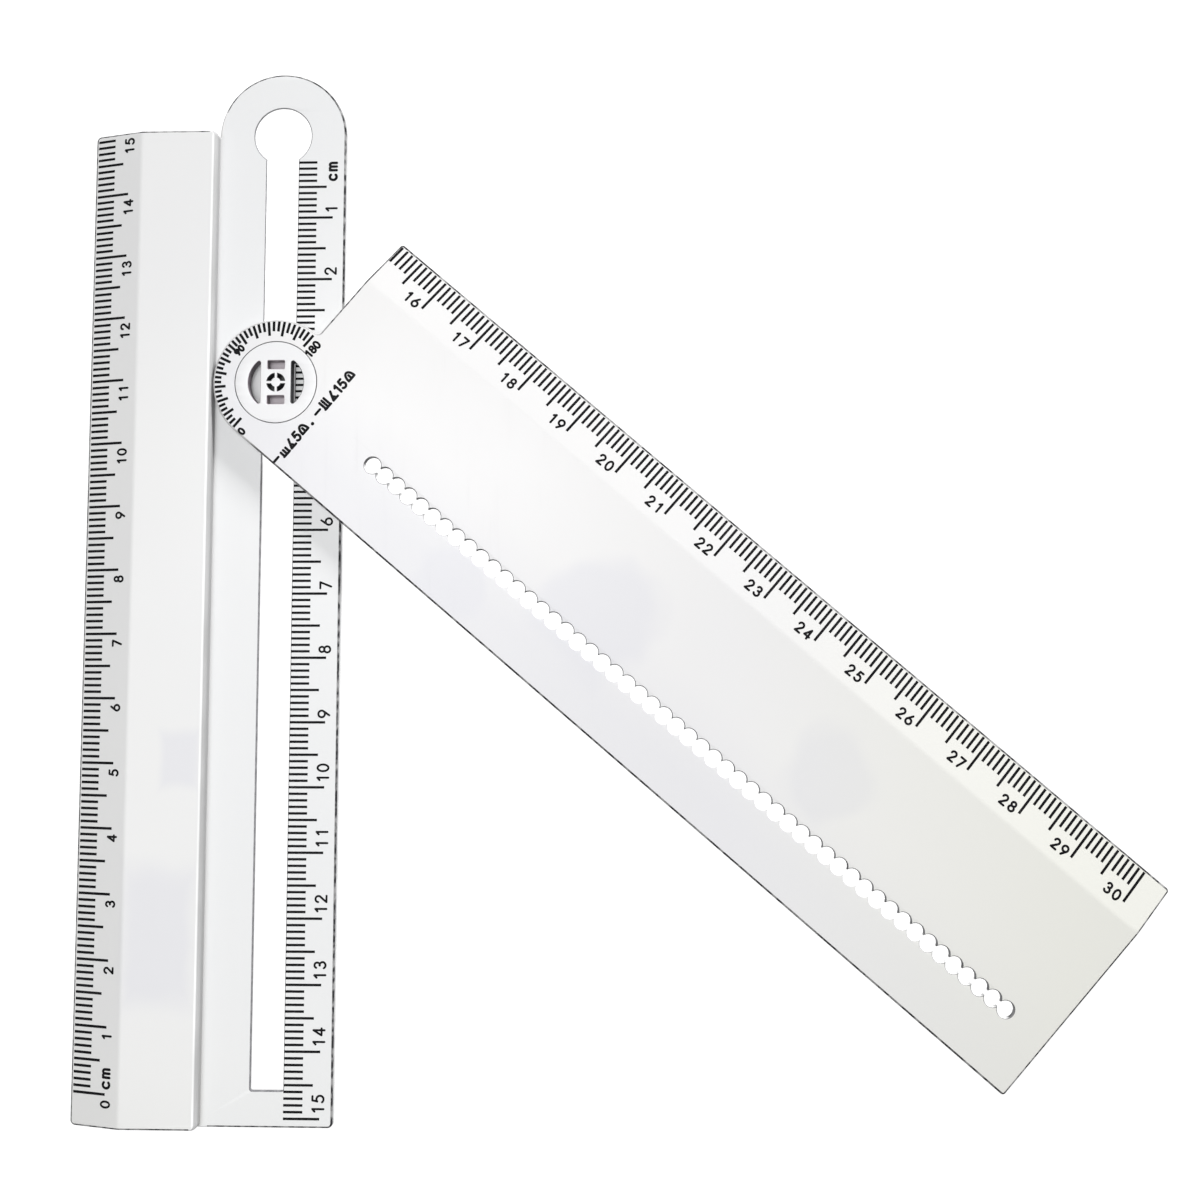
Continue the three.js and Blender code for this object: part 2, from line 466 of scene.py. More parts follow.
def channel_cutter():
    """The channel under the slot, open downwards with a softened mouth."""
    left, right = SLOT_X - CHANNEL_HALF, SLOT_X + CHANNEL_HALF
    outline = [
        *corner(left, CHANNEL_FOOT, 180),
        *corner(right, CHANNEL_FOOT, 270),
        (right, ROUND_END_Y),
        (left, ROUND_END_Y),
    ]
    wide = -CHANNEL_CHAMFER
    profile = [(0, CHANNEL_DEPTH), (0, CHANNEL_CHAMFER), (wide, 0), (wide, -1)]
    return moulding((outline, profile))


def make_arm(materials):
    """The arm, with the seat of the button's disc, the bore under it and the scallops."""
    stepped = wall_profile(THICKNESS, SEAT_FLOOR, SEAM_EDGE, 0.0)[:EDGE_STEPS + 1]
    ledge = SEAT_RADIUS - BORE_RADIUS
    stepped += [(0, SEAT_FLOOR), (-ledge, SEAT_FLOOR), (-ledge, ARM_UNDER)]
    seat = hole(circle(0, 0, SEAT_RADIUS, 128))
    scallops = scallop_plan(), wall_profile(THICKNESS, ARM_UNDER, SCALLOP_EDGE, SMALL_EDGE), WALL
    marks = [ejector_mark(u, EJECTOR_W, ARM_UNDER) for u in EJECTOR_U]
    outer = arm_plan(), wall_profile(THICKNESS, ARM_UNDER, EDGE, SMALL_EDGE), FACE, RIM
    bm = moulding(outer, [(seat, stepped), scallops], sunk=marks)
    crease = ARM_SCALE_EDGE - BEVEL_WIDTH
    lower_bevel(bm, 1, crease, ARM_SCALE_EDGE, ARM_EDGE_TOP, (THICKNESS + ARM_UNDER) / 2)
    return new_object("arm_moulding", bm, materials, ARM_PLACE)


def make_button(materials):
    """The disc and its journal, joined to the neck in the slot and the flange under it."""
    disc = wall_profile(THICKNESS, DISC_UNDER, SEAM_EDGE, SEAM_EDGE)
    journal_inset = DISC_RADIUS - JOURNAL_RADIUS
    disc += [(journal_inset, DISC_UNDER), (journal_inset, ARM_UNDER)]
    opening = wall_profile(THICKNESS, ARM_UNDER, SMALL_EDGE, FINE_EDGE)
    pocket = wall_profile(THICKNESS, POCKET_FLOOR, SMALL_EDGE, 0.0)[:EDGE_STEPS + 1]
    pocket += [(0, POCKET_FLOOR)]
    bm = moulding(
        (circle(0, 0, DISC_RADIUS, 128), disc),
        [(crescent_plan(1), opening, DARK), (crescent_plan(-1), opening, HALF_DARK)],
        [(window_plan(side), pocket, WINDOW) for side in (1, -1)]
        + [(slit_plan(quarter), pocket, DARK) for quarter in range(4)],
    )
    button = new_object("button_moulding", bm, materials, BUTTON_PLACE)
    half_x, half_y = NECK_HALF_WIDTH, NECK_HALF_LENGTH
    neck = rounded_box(-half_x, -half_y, half_x, half_y, NECK_CORNER)
    neck_bm = moulding((neck, [(0, NECK_TOP), (0, NECK_FOOT)]))
    flange = wall_profile(FLANGE_TOP, FLANGE_UNDER, SMALL_EDGE, SMALL_EDGE)
    flange_bm = moulding((circle(0, 0, FLANGE_RADIUS, 96), flange))
    combine(button, new_object("neck", neck_bm, materials, BUTTON_PLACE), "UNION")
    combine(button, new_object("flange", flange_bm, materials, BUTTON_PLACE), "UNION")
    return button


# ---- printed ink -----------------------------------------------------------------------

INK_LIFT = 0.012  # how far the ink stands proud
INK_SINK = 0.03  # how far its underside reaches into the plastic


def oval(cx, cy, rx, ry):
    """A closed ring, as two strokes whose ends overlap."""
    return [("arc", cx, cy, rx, ry, 80, 280), ("arc", cx, cy, rx, ry, 260, 460)]


# The width and the strokes of each character, in a box one unit high: ("line", point, point)
# or ("arc", cx, cy, rx, ry, start, end).
GLYPHS = {
    "0": (0.60, oval(0.30, 0.50, 0.30, 0.50)),
    "1": (0.22, [("line", (0.22, 0), (0.22, 1)), ("line", (0.22, 1), (0, 0.80))]),
    "2": (0.56, [("arc", 0.27, 0.73, 0.27, 0.27, 175, -35), ("line", (0.49, 0.58), (0, 0)),
                 ("line", (0, 0), (0.56, 0))]),
    "3": (0.54, [("arc", 0.26, 0.76, 0.24, 0.24, 160, -95),
                 ("arc", 0.26, 0.27, 0.28, 0.27, 95, -155)]),
    "4": (0.60, [("line", (0.44, 1), (0, 0.27)), ("line", (0, 0.27), (0.60, 0.27)),
                 ("line", (0.44, 1), (0.44, 0))]),
    "5": (0.56, [("line", (0.15, 1), (0.52, 1)), ("line", (0.15, 1), (0.07, 0.56)),
                 ("arc", 0.25, 0.32, 0.31, 0.32, 130, -145)]),
    "6": (0.60, [*oval(0.30, 0.30, 0.30, 0.30), ("line", (0.42, 1), (0.04, 0.45))]),
    "7": (0.56, [("line", (0, 1), (0.56, 1)), ("line", (0.56, 1), (0.16, 0))]),
    "8": (0.56, [*oval(0.28, 0.765, 0.235, 0.235), *oval(0.28, 0.275, 0.28, 0.275)]),
    "9": (0.60, [*oval(0.30, 0.70, 0.30, 0.30), ("line", (0.18, 0), (0.56, 0.55))]),
    "c": (0.80, [("arc", 0.45, 0.50, 0.45, 0.50, 45, 315)]),
    "m": (1.10, [("line", (0, 0), (0, 1)), ("arc", 0.275, 0.68, 0.275, 0.32, 180, 0),
                 ("line", (0.55, 0.68), (0.55, 0)), ("arc", 0.825, 0.68, 0.275, 0.32, 180, 0),
                 ("line", (1.10, 0.68), (1.10, 0))]),
    "angle": (0.70, [("line", (0.70, 0), (0, 0)), ("line", (0, 0), (0.50, 0.95)),
                     ("arc", 0, 0, 0.45, 0.45, 0, 62)]),
    "small": (0.90, [("line", (0, 0), (0.90, 0)), ("line", (0.08, 0), (0.08, 0.60)),
                     ("line", (0.45, 0), (0.45, 0.60)), ("line", (0.82, 0), (0.82, 0.60))]),
    "large": (0.90, [("line", (0, 0), (0.90, 0)), ("line", (0.10, 0), (0.10, 1)),
                     ("line", (0.45, 0), (0.45, 1)), ("line", (0.80, 0), (0.80, 1))]),
    "dial": (0.90, [("arc", 0.45, 0.12, 0.45, 0.84, 0, 180), ("line", (0, 0.12), (0.90, 0.12)),
                    ("line", (0.45, 0.12), (0.45, 0.60))]),
    "dash": (0.75, [("line", (0, 0.5), (0.75, 0.5))]),
    "dot": (0.10, oval(0.05, 0.07, 0.05, 0.05)),
}
CELL = 0.84  # width of a figure's cell, as a share of its height


def stroke_path(stroke):
    """The points along a stroke of a character."""
    if stroke[0] == "line":
        return list(stroke[1:])
    _, cx, cy, rx, ry, start, end = stroke
    steps = max(6, round(abs(end - start) / 12))
    turns = [math.radians(start + (end - start) * i / steps) for i in range(steps + 1)]
    return [(cx + rx * math.cos(a), cy + ry * math.sin(a)) for a in turns]


def ribbon(path, width, round_ends=True):
    """The outline of a line of that width along a path."""
    half = width / 2
    points = [Vector(p) for p in path]
    sides = []
    for i, point in enumerate(points):
        along = points[min(i + 1, len(points) - 1)] - points[max(i - 1, 0)]
        along.normalize()
        sides.append(Vector((along.y, -along.x)))
    right = [p + s * half for p, s in zip(points, sides)]
    left = [p - s * half for p, s in zip(points, sides)]
    if not round_ends:
        return right + left[::-1]
    head = cap(points[-1], sides[-1], half)
    tail = cap(points[0], -sides[0], half)
    return right + head + left[::-1] + tail


def cap(centre, side, half, steps=6):
    """The round end of a ribbon, from one of its sides to the other."""
    start = math.atan2(side.y, side.x)
    turns = [start + math.pi * i / steps for i in range(1, steps)]
    return [centre + half * Vector((math.cos(a), math.sin(a))) for a in turns]


def glyph(name, height, stroke, place):
    """Outlines of a character. place takes (across, up) in millimetres to the plan."""
    scale = height - stroke
    outlines = []
    for item in GLYPHS[name][1]:
        path = [(x * scale + stroke / 2, y * scale + stroke / 2) for x, y in stroke_path(item)]
        outlines.append([place(*p) for p in ribbon(path, stroke)])
    return outlines


def glyph_width(name, height, stroke):
    return GLYPHS[name][0] * (height - stroke) + stroke


def figures(text, height, stroke, start, baseline, along, up, cell=CELL):
    """A number whose cells, as wide as `cell` times its height, begin at `start` along the
    reading direction."""
    outlines = []
    for index, name in enumerate(text):
        spare = cell * height - glyph_width(name, height, stroke)
        offset = start + index * cell * height + spare / 2
        outlines += glyph(name, height, stroke, placer(offset, baseline, along, up))
    return outlines


def placer(start, baseline, along, up):
    """Takes glyph coordinates to the plan, for text that reads `along` with its top `up`."""
    along, up = Vector(along), Vector(up)
    return lambda x, y: (start + x) * along + (baseline + y) * up


def tick(a, b, width):
    return ribbon([a, b], width, round_ends=False)


def tick_reach(value, reaches):
    """How far a tick goes: reaches are those of a 1, a 5 and a 10 mm tick."""
    if value % 10 == 0:
        return reaches[2]
    return reaches[1] if value % 5 == 0 else reaches[0]


def print_ink(name, outlines, surface, place=Matrix.Identity(4)):
    """One closed skin of ink from overlapping outlines. surface gives z at a plan point."""
    points, faces = [], []
    for outline in outlines:
        faces.append(list(range(len(points), len(points) + len(outline))))
        points += [Vector(p) for p in outline]
    flat, _, regions, _, _, owners = delaunay_2d_cdt(points, [], faces, 1, 1e-5)
    triangles = [region for region, owner in zip(regions, owners) if owner]
    bm = bmesh.new()
    top = [bm.verts.new((p.x, p.y, surface(p.x, p.y) + INK_LIFT)) for p in flat]
    under = [bm.verts.new((p.x, p.y, surface(p.x, p.y) - INK_SINK)) for p in flat]
    borders = {}
    for triangle in triangles:
        bm.faces.new([top[i] for i in triangle])
        bm.faces.new([under[i] for i in reversed(triangle)])
        for a, b in zip(triangle, [*triangle[1:], triangle[0]]):
            borders[a, b] = (b, a) not in borders
            if (b, a) in borders:
                borders[b, a] = False
    for (a, b), outside in borders.items():
        if outside:
            bm.faces.new((top[a], under[a], under[b], top[b]))
    bmesh.ops.delete(bm, geom=[v for v in bm.verts if not v.link_faces], context="VERTS")
    bmesh.ops.recalc_face_normals(bm, faces=bm.faces)
    return new_object(name, bm, [SCALE_INK], place)


def bevel_height(distance, edge_top):
    """Height of a bevel at a distance from its ruling edge."""
    return edge_top + (THICKNESS - edge_top) * min(1.0, distance / BEVEL_WIDTH)


UP_LEFT = {"along": (0, 1), "up": (-1, 0)}  # reads towards +Y, tops towards -X


def make_base_left_scale():
    start = RULING_EDGE_X + 0.45
    reaches = [RULING_EDGE_X + r for r in (3.45, 4.95, 5.95)]
    width = 0.40
    outlines = [tick((start, v), (tick_reach(v, reaches), v), width) for v in range(150)]
    height, stroke, baseline, gap = 1.78, 0.33, 3.17, 0.72
    for centimetre in range(16):
        text = str(centimetre)
        first = centimetre * 10 - gap - len(text) * CELL * height
        outlines += figures(text, height, stroke, first, baseline, **UP_LEFT)
    outlines += centimetre_sign(0.4, 0.75, baseline)

    def surface(x, y):
        return bevel_height(x - RULING_EDGE_X, BASE_EDGE_TOP)

    return print_ink("base_left_scale_print", outlines, surface)


def centimetre_sign(stroke, start, baseline):
    height, spacing, lift = 1.5, 0.3, 0.05
    outlines = []
    for name in "cm":
        outlines += glyph(name, height, stroke, placer(start, baseline + lift, **UP_LEFT))
        start += glyph_width(name, height, stroke) + spacing
    return outlines


RIGHT_SCALE_ZERO = 146.3  # Y of the right scale's missing zero tick


def make_base_right_scale():
    start = SLOT_X + SLOT_HALF + 0.04
    reaches = [25.8, 27.35, 28.4]
    width = 0.38
    outlines = []
    for v in range(1, 151):
        y = RIGHT_SCALE_ZERO - v
        outlines.append(tick((start, y), (tick_reach(v, reaches), y), width))
    height, stroke, baseline, gap = 2.02, 0.32, -29.18, 0.45
    for centimetre in range(1, 16):
        first = RIGHT_SCALE_ZERO - centimetre * 10 + gap
        outlines += figures(str(centimetre), height, stroke, first, baseline, **UP_LEFT)
    outlines += centimetre_sign(0.42, 142.2, baseline)
    return print_ink("base_right_scale_print", outlines, lambda x, y: PLATE_TOP)


ARM_SCALE_ZERO = -150.27  # u that the arm's scale would have at 0


def make_arm_scale():
    start = ARM_SCALE_EDGE - 0.4
    reaches = [26.15, 24.7, 23.65]
    width = 0.41
    outlines = []
    for v in range(151, 301):
        u = ARM_SCALE_ZERO + v
        outlines.append(tick((u, start), (u, tick_reach(v, reaches)), width))
    height, stroke, baseline, gap = 1.88, 0.35, 22.88, 0.6
    for centimetre in range(16, 31):
        first = ARM_SCALE_ZERO + centimetre * 10 - gap - 2 * CELL * height
        outlines += figures(
            str(centimetre), height, stroke, first, baseline, along=(1, 0), up=(0, 1))

    def surface(u, w):
        return bevel_height(ARM_SCALE_EDGE - w, ARM_EDGE_TOP)

    return print_ink("arm_scale_print", outlines, surface, ARM_PLACE)


def make_protractor():
    """Ticks every 5 degrees, printed a little off the pivot and up to the tongue's rounded edge."""
    centre = Vector((-0.38, -0.35))
    flat_radius = TONGUE_RADIUS - EDGE
    longest, long_tick, short_tick, width = 9.75, 7.4, 8.1, 0.42
    outlines = []
    for degree in range(0, 181, 5):
        turn = math.radians(270 - degree)
        ray = Vector((math.cos(turn), math.sin(turn)))
        aside = centre.dot(ray)
        outer = math.sqrt(aside**2 - centre.length_squared + flat_radius**2) - aside
        inner = long_tick if degree % 15 == 0 else short_tick
        outlines.append(tick(centre + ray * min(longest, outer), centre + ray * inner, width))
    stroke, narrow = 0.36, 0.64
    labels = ("0", 1.4, 1.75, -9.75), ("180", 1.5, 1.75, 6.2), ("90", 1.3, -7.1, -0.75)
    for text, height, u, w in labels:
        outlines += figures(text, height, stroke, w, -u, **UP_LEFT, cell=narrow)
    return print_ink("protractor_print", outlines, lambda u, w: THICKNESS, ARM_PLACE)


def make_legend():
    """What the protractor's short and long ticks stand for, in signs and figures."""
    height, stroke, baseline = 1.84, 0.41, -9.1
    signs = [
        ("dash", -9.85), ("small", -8.15), ("angle", -6.4), ("5", -4.9), ("dial", -3.6),
        ("dot", -1.45), ("dash", 0.0), ("large", 1.6), ("angle", 3.5), ("1", 5.05), ("5", 5.95),
        ("dial", 7.35),
    ]
    outlines = []
    for name, start in signs:
        outlines += glyph(name, height, stroke, placer(start, baseline, **UP_LEFT))
    return print_ink("legend_print", outlines, lambda u, w: THICKNESS, ARM_PLACE)


# ---- materials -------------------------------------------------------------------------


class Shading:
    """A material, with short ways to add the nodes that are used here."""

    def __init__(self, name):
        self.material = bpy.data.materials.new(name)
        self.material.use_nodes = True
        self.tree = self.material.node_tree
        self.shader = self.tree.nodes["Principled BSDF"]
        place = self.tree.nodes.new("ShaderNodeTexCoord")
        self.point = place.outputs["Object"]
        self.axes = self.node("ShaderNodeSeparateXYZ", {"Vector": self.point}).outputs
        self.normal = place.outputs["Normal"]
        lean = self.node("ShaderNodeSeparateXYZ", {"Vector": self.normal})
        self.upright = self.math("ABSOLUTE", lean.outputs["Z"])

    def feed(self, socket, value):
        if isinstance(value, bpy.types.NodeSocket):
            self.tree.links.new(value, socket)
        else:
            socket.default_value = value

    def node(self, kind, inputs, **settings):
        node = self.tree.nodes.new(kind)
        for key, value in settings.items():
            setattr(node, key, value)
        for key, value in inputs.items():
            self.feed(node.inputs[key], value)
        return node

    def noise(self, scale, detail, vector=None):
        inputs = {"Vector": vector or self.point, "Scale": scale, "Detail": detail}
        return self.node("ShaderNodeTexNoise", inputs).outputs["Fac"]

    def ramp(self, value, low, high, to_low=0.0, to_high=1.0, kind="LINEAR"):
        inputs = dict(zip(
            ("Value", "From Min", "From Max", "To Min", "To Max"),
            (value, low, high, to_low, to_high)))
        return self.node("ShaderNodeMapRange", inputs, interpolation_type=kind).outputs[0]

    def math(self, operation, *values):
        return self.node("ShaderNodeMath", dict(enumerate(values)), operation=operation).outputs[0]

    def mix_value(self, share, first, second):
        return self.node("ShaderNodeMix", {0: share, 2: first, 3: second}).outputs[0]

    def mix(self, share, first, second):
        inputs = {0: share, 6: first, 7: second}
        return self.node("ShaderNodeMix", inputs, data_type="RGBA").outputs[2]

    def dot(self, vector, direction):
        inputs = {0: vector, 1: direction}
        node = self.node("ShaderNodeVectorMath", inputs, operation="DOT_PRODUCT")
        return node.outputs["Value"]

    def distance(self, x, y):
        """How far a point is from (x, y), in millimetres, on the upper face."""
        inputs = {0: self.point, 1: Vector((x, y, THICKNESS)) * MM}
        node = self.node("ShaderNodeVectorMath", inputs, operation="DISTANCE")
        return self.math("DIVIDE", node.outputs["Value"], MM)

    def from_middle(self, axis, middle, half):
        """How far a point is from `middle` along an axis, as a share of `half`."""
        aside = self.math("SUBTRACT", self.axes[axis], middle * MM)
        return self.math("ABSOLUTE", self.math("DIVIDE", aside, half * MM))

    def by_step(self):
        """1 next to the base's step, and 0 elsewhere."""
        return self.math("COMPARE", self.axes["X"], STEP_X * MM, STEP_REACH * MM)

    def step_shade(self):
        """How dark the step's wall is, by how steep it is."""
        return self.ramp(self.upright, 0.96, 0.85, 0.0, STEP_SHADE)

    def bump(self, height, strength, depth):
        inputs = {"Height": height, "Strength": strength, "Distance": depth * MM}
        self.feed(self.shader.inputs["Normal"], self.node("ShaderNodeBump", inputs).outputs[0])


# lilac grey: random clouds in the plastic, and the colour of its painted reflections and painted
# shade
LILAC = (0.635, 0.635, 0.665, 1)
YELLOWED = (0.72, 0.72, 0.665, 1)
COOL = (0.69, 0.71, 0.73, 1)
# the colour of the painted highlight on the crest of the step's edge
STEP_HIGHLIGHT = (0.87, 0.87, 0.87, 1)
# the colour of the painted dark line of shade on rounded edges and walls
ARRIS_SHADE = (0.03, 0.03, 0.033, 1)
GLOWING_WALL_TONE = (0.7, 0.7, 0.7, 1)  # wall plastic that glows: painted light standing for the floor's light soaking through it
WHITE = (1, 1, 1, 1)
PAINTED_WALL_GLOW = 0.6
STEP_SHADE = 0.48  # how dark the step's wall is, as a share of an arris
STEP_REACH = 1.1  # how far from the step its own shades go
BAND_CHANGE_Y = 98  # where the painted band of shade under the rim of an opening changes its height
BAND_CHANGE_HALF = 3
SCALLOPS_MIDDLE_X = 83


def plastic(name, light, dark, reflection_spots=(), reflection_boxes=(), tints=(), stepped=False):
    """Glossy moulded plastic with clouds and fine scratches, and a painted dark line of shade on
    its thin arrises and upright walls. reflection_spots are painted lilac reflections as (x, y,
    radius), reflection_boxes painted lilac reflections as (x, y, half width, half length), and
    tints (direction, start, end, share at the end, colour). stepped is for the piece with the step."""
    s = Shading(name)
    cloud = s.noise(28.0, 2.0)
    colour = s.mix(cloud, light, dark)
    colour = s.mix(s.ramp(s.noise(11.0, 1.0), 0.45, 0.75, 0.0, 0.3), colour, LILAC)
    wobble = s.ramp(s.noise(120.0, 1.0), 0.3, 0.7, -1.5, 1.5)
    # painted lilac reflections: round ones, then box-shaped ones
    for x, y, radius in reflection_spots:
        reach = s.math("ADD", s.distance(x, y), wobble)
        share = s.ramp(reach, 1.25 * radius, 0.75 * radius, 0.0, 0.7, "SMOOTHSTEP")
        colour = s.mix(share, colour, LILAC)
    for x, y, half_x, half_y in reflection_boxes:
        across, along = s.from_middle("X", x, half_x), s.from_middle("Y", y, half_y)
        reach = s.math("MULTIPLY_ADD", wobble, 0.08, s.math("MAXIMUM", across, along))
        colour = s.mix(s.ramp(reach, 1.25, 0.65, 0.0, 0.7, "SMOOTHSTEP"), colour, LILAC)
    for direction, start, end, most, tint in tints:
        share = s.ramp(s.dot(s.point, direction), start * MM, end * MM, 0.0, most)
        colour = s.mix(share, colour, tint)
    # painted shade: a dark line on arrises and darker upright walls, told by how far the surface
    #     # leans; the arrises are also rougher
    arris = s.ramp(s.upright, 0.955, 0.75, kind="SMOOTHSTEP")
    wall = s.ramp(s.upright, 0.0, 0.3, 0.3, 1.0, "SMOOTHSTEP")
    broken = s.ramp(s.noise(700.0, 2.0), 0.35, 0.6, 0.6, 0.96)
    edge_shade_and_wear = s.math("MULTIPLY", s.math("MULTIPLY", arris, wall), broken)
    if stepped:
        on_plate = s.ramp(s.axes["X"], STEP_X * MM, (STEP_X + 1) * MM, 0.0, 0.5)
        colour = s.mix(s.math("MULTIPLY", on_plate, cloud), colour, COOL)
        # painted shade on the step's wall, in place of the arris line
        edge_shade_and_wear = s.mix_value(s.by_step(), edge_shade_and_wear, s.step_shade())
    s.feed(s.shader.inputs["Base Color"], s.mix(edge_shade_and_wear, colour, ARRIS_SHADE))
    s.feed(s.shader.inputs["Specular IOR Level"], s.ramp(edge_shade_and_wear, 0.0, 0.8, 0.5, 0.0))
    # gloss
    turn, stretch = (0, 0, 0.6), (2600, 60, 60)
    inputs = {"Vector": s.point, "Rotation": turn, "Scale": stretch}
    streaks = s.node("ShaderNodeMapping", inputs).outputs[0]
    scratch = s.ramp(s.noise(1.0, 2.0, streaks), 0.62, 0.75)
    gloss = s.ramp(cloud, 0.0, 1.0, 0.24, 0.36)
    worn = s.math("MULTIPLY_ADD", edge_shade_and_wear, 0.7, gloss)
    s.feed(s.shader.inputs["Roughness"], s.math("MULTIPLY_ADD", scratch, 0.12, worn))
    relief = s.math("MULTIPLY_ADD", scratch, -0.3, s.noise(420.0, 3.0))
    s.bump(relief, 0.12, 0.04)
    s.shader.inputs["IOR"].default_value = 1.46
    return s.material


def arris(name, plain, quiet=None, stepped=False):
    """A rounded outer edge, worn rough, with a painted dark line of shade on it in broken runs.
    quiet is (x, y, reach) of a part where that painted line is fainter."""
    s = Shading(name)
    rim_shade_and_wear = s.ramp(s.noise(800.0, 2.0), 0.38, 0.58, 0.62, 0.99)
    if quiet:
        x, y, reach = quiet
        line_strength = s.ramp(s.distance(x, y), reach - 0.5, reach + 0.5, 0.35, 1.0)
        rim_shade_and_wear = s.math("MULTIPLY", rim_shade_and_wear, line_strength)
    if stepped:
        near = s.by_step()
        # the step's edge takes the step's painted shade instead
        rim_shade_and_wear = s.mix_value(near, rim_shade_and_wear, s.step_shade())
        # a painted highlight on the crest of the step's edge, broken in places
        highlight_breaks = s.ramp(s.noise(70.0, 2.0), 0.35, 0.6, 0.2, 1.0)
        crest = s.math("MULTIPLY", s.ramp(s.upright, 0.9998, 0.996), highlight_breaks)
        plain = s.mix(s.math("MULTIPLY", near, crest), plain, STEP_HIGHLIGHT)
    s.feed(s.shader.inputs["Base Color"], s.mix(rim_shade_and_wear, plain, ARRIS_SHADE))
    s.feed(s.shader.inputs["Roughness"], s.ramp(rim_shade_and_wear, 0.0, 1.0, 0.3, 0.9))
    s.feed(s.shader.inputs["Specular IOR Level"], s.ramp(rim_shade_and_wear, 0.0, 0.8, 0.5, 0.0))
    s.bump(s.noise(600.0, 3.0), 0.15, 0.04)
    return s.material


def hole_wall(name, rim, bands, line, lit_side=None):
    """The wall of an opening: a band of painted shade under its rim, at height rim, then plastic
    with a painted glow that stands for the floor's light soaking through. bands are its heights
    below and above Y = BAND_CHANGE_Y. There is no band where the wall faces lit_side."""
    s = Shading(name)
    below, above = ((rim - band) * MM for band in bands)
    change = (BAND_CHANGE_Y - BAND_CHANGE_HALF) * MM, (BAND_CHANGE_Y + BAND_CHANGE_HALF) * MM
    end = s.ramp(s.axes["Y"], *change, below, above)
    soft = 0.1 * MM
    limits = s.math("SUBTRACT", end, soft), s.math("ADD", end, soft)
    shade = s.ramp(s.axes["Z"], *limits)
    if lit_side:
        # the band reaches further round in the openings near both ends of the row
        off_middle = s.math("SUBTRACT", s.axes["X"], SCALLOPS_MIDDLE_X * MM)
        more = s.ramp(s.math("ABSOLUTE", off_middle), 30 * MM, 46 * MM, 0.0, 0.45)
        facing = s.math("SUBTRACT", s.dot(s.normal, lit_side), more)
        shade = s.math("MULTIPLY", shade, s.ramp(facing, -0.1, 0.45, 1.0, 0.0))
    dust = s.ramp(s.noise(900.0, 3.0), 0.3, 0.7, 0.8, 1.0)
    # painted: the band of shade takes the colour line, and the wall below keeps its tone and glows
    # white
    s.feed(s.shader.inputs["Base Color"], s.mix(s.math("MULTIPLY", shade, dust), GLOWING_WALL_TONE, line))
    s.feed(s.shader.inputs["Emission Strength"], s.ramp(shade, 0.0, 1.0, PAINTED_WALL_GLOW, 0.0))
    s.shader.inputs["Emission Color"].default_value = WHITE
    s.feed(s.shader.inputs["Roughness"], s.ramp(dust, 0.8, 1.0, 0.45, 0.7))
    s.bump(dust, 0.15, 0.03)
    return s.material


def recess(name, floor, wall):
    """The same plastic inside narrow openings, with painted shade and some dust. floor and wall
    are the painted colours of its level and its upright parts."""
    s = Shading(name)
    flat = s.ramp(s.upright, 0.35, 0.95, kind="SMOOTHSTEP")
    dust = s.ramp(s.noise(900.0, 3.0), 0.3, 0.7)
    bare, dusty = (tuple(c * k for c in wall) + (1,) for k in (1.3, 0.7))
    low, high = (tuple(c * k for c in floor) + (1,) for k in (0.9, 1.1))
    colour = s.mix(flat, s.mix(dust, bare, dusty), s.mix(dust, low, high))
    s.feed(s.shader.inputs["Base Color"], colour)
    s.feed(s.shader.inputs["Roughness"], s.ramp(dust, 0.0, 1.0, 0.4, 0.7))
    s.bump(dust, 0.15, 0.03)
    return s.material


def ink():
    """Screen-printed black: uneven cover, a soft sheen and a grainy surface."""
    s = Shading("scale_ink")
    grain = s.noise(1500.0, 3.0)
    thin = s.ramp(s.noise(160.0, 2.0), 0.5, 0.85, 0.0, 0.4)
    colour = s.mix(thin, (0.004, 0.004, 0.005, 1), (0.03, 0.03, 0.034, 1))
    s.feed(s.shader.inputs["Base Color"], colour)
    s.feed(s.shader.inputs["Roughness"], s.ramp(grain, 0.0, 1.0, 0.4, 0.7))
    s.bump(grain, 0.2, 0.01)
    s.shader.inputs["Specular IOR Level"].default_value = 0.1
    return s.material


# ---- pieces ----------------------------------------------------------------------------

SCALE_INK = ink()
# painted shade in the button's slits and one crescent
DARK_RECESS = recess("dark_recess", (0.05, 0.05, 0.055), (0.04, 0.04, 0.045))
BASE_PLASTIC = plastic(
    "base_plastic", (0.725, 0.725, 0.72, 1), (0.70, 0.70, 0.695, 1),
    # painted lilac reflections on the thick half
    reflection_boxes=[(3.7, 23.5, 5.3, 10.5), (6.3, 50.5, 3.0, 4.5)],
    tints=[((0, 1, 0), 12, -8, 0.2, YELLOWED)], stepped=True)
BASE_ARRIS = arris("base_arris", (0.71, 0.71, 0.705, 1), stepped=True)
SLOT_WALL = hole_wall("slot_wall", PLATE_TOP, (0.7, 0.2), (0.13, 0.13, 0.14, 1))
ACROSS_ARM = Vector((0, 1, 0))
ACROSS_ARM.rotate(Euler((0, 0, math.radians(ARM_DEG))))
PIVOT_ACROSS = PIVOT.dot(ACROSS_ARM)
ARM_PLASTIC = plastic(
    "arm_plastic", (0.73, 0.725, 0.72, 1), (0.71, 0.705, 0.70, 1),
    # painted lilac reflections on the arm
    reflection_spots=[(70.8, 72.3, 9), (48.8, 78.5, 5.5), (105.9, 48.5, 7)],
    # the lilac tint across the arm is painted shade, darker towards the edge across from its scale;
    # then yellowing towards its far end
    tints=[(ACROSS_ARM, PIVOT_ACROSS + 7, PIVOT_ACROSS - 5, 0.6, LILAC),
           ((1, 0, 0), 90, 140, 0.85, YELLOWED)])
ARM_ARRIS = arris(
    "arm_arris", (0.72, 0.715, 0.71, 1), quiet=(PIVOT.x, PIVOT.y, TONGUE_RADIUS + TONGUE_FILLET))
